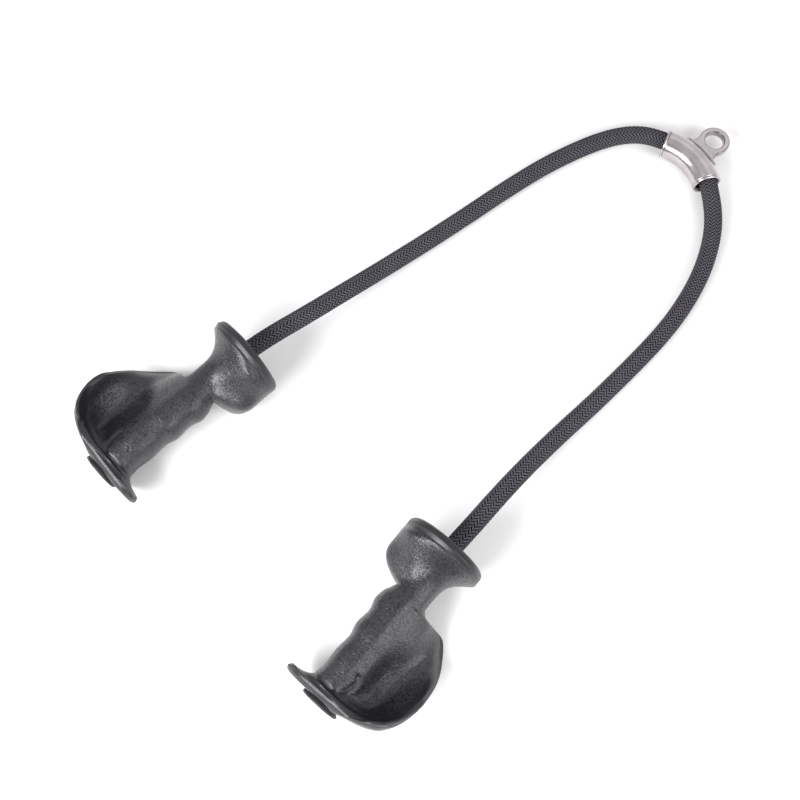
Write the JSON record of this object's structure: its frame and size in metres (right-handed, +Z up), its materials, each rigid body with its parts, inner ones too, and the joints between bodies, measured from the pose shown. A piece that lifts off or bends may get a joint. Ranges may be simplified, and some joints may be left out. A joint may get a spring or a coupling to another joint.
{
  "type": "triceps rope attachment",
  "caption": "Braided rope through a curved steel sleeve with an eye plate, a flanged moulded grip with a palm guard on each rope end.",
  "frame": {"origin": "on the floor, at the middle of the bounding box of the metal and the handles as they lie", "axes": "+Y from the handles to the eye, +X towards the right handle, +Z up from the floor"},
  "size_m": [0.3724, 0.617, 0.0727],
  "materials": {
    "satin_steel": "satin polished steel",
    "braided_rope": "charcoal braided polyester",
    "moulded_grip": "black, semi-gloss with a fine grain",
    "black_nylon": "black moulded nylon",
    "zinc_steel": "zinc plated"
  },
  "bodies": {
    "bracket": {"curved_sleeve": "satin_steel", "eye_plate": "satin_steel", "weld_bead": "satin_steel", "rope_saddle_stretch": "braided_rope"},
    "left_leg": {"left_rope_leg": "braided_rope"},
    "left_tail": {"left_rope_tail": "braided_rope", "left_rope_ferrule": "zinc_steel", "left_load_washer": "zinc_steel"},
    "left_handle": {"left_handle_grip": "moulded_grip", "left_bore_liner": "black_nylon", "left_end_cap": "black_nylon"},
    "right_leg": {"right_rope_leg": "braided_rope"},
    "right_tail": {"right_rope_tail": "braided_rope", "right_rope_ferrule": "zinc_steel", "right_load_washer": "zinc_steel"},
    "right_handle": {"right_handle_grip": "moulded_grip", "right_bore_liner": "black_nylon", "right_end_cap": "black_nylon"}
  },
  "joints": [
    {"name": "left_leg_swing", "type": "hinge", "parent": "bracket", "child": "left_leg", "pos_m": [-0.00706, 0.26403, 0.0127], "axis": [0, 0, -1], "range_deg": [-6, 20]},
    {"name": "left_handle_swing", "type": "hinge", "parent": "left_leg", "child": "left_tail", "pos_m": [-0.11795, -0.1522, 0.0369], "axis": [0, 0, -1], "range_deg": [-8, 20]},
    {"name": "left_handle_swivel", "type": "hinge", "parent": "left_tail", "child": "left_handle", "pos_m": [-0.11795, -0.1522, 0.0369], "axis": [0.0696, 0.9948, 0.075], "continuous": true},
    {"name": "right_leg_swing", "type": "hinge", "parent": "bracket", "child": "right_leg", "pos_m": [0.04648, 0.2584, 0.0127], "axis": [0, 0, 1], "range_deg": [-6, 20]},
    {"name": "right_handle_swing", "type": "hinge", "parent": "right_leg", "child": "right_tail", "pos_m": [0.11795, -0.1522, 0.0369], "axis": [0, 0, 1], "range_deg": [-8, 20]},
    {"name": "right_handle_swivel", "type": "hinge", "parent": "right_tail", "child": "right_handle", "pos_m": [0.11795, -0.1522, 0.0369], "axis": [-0.0696, 0.9948, 0.075], "continuous": true}
  ]
}
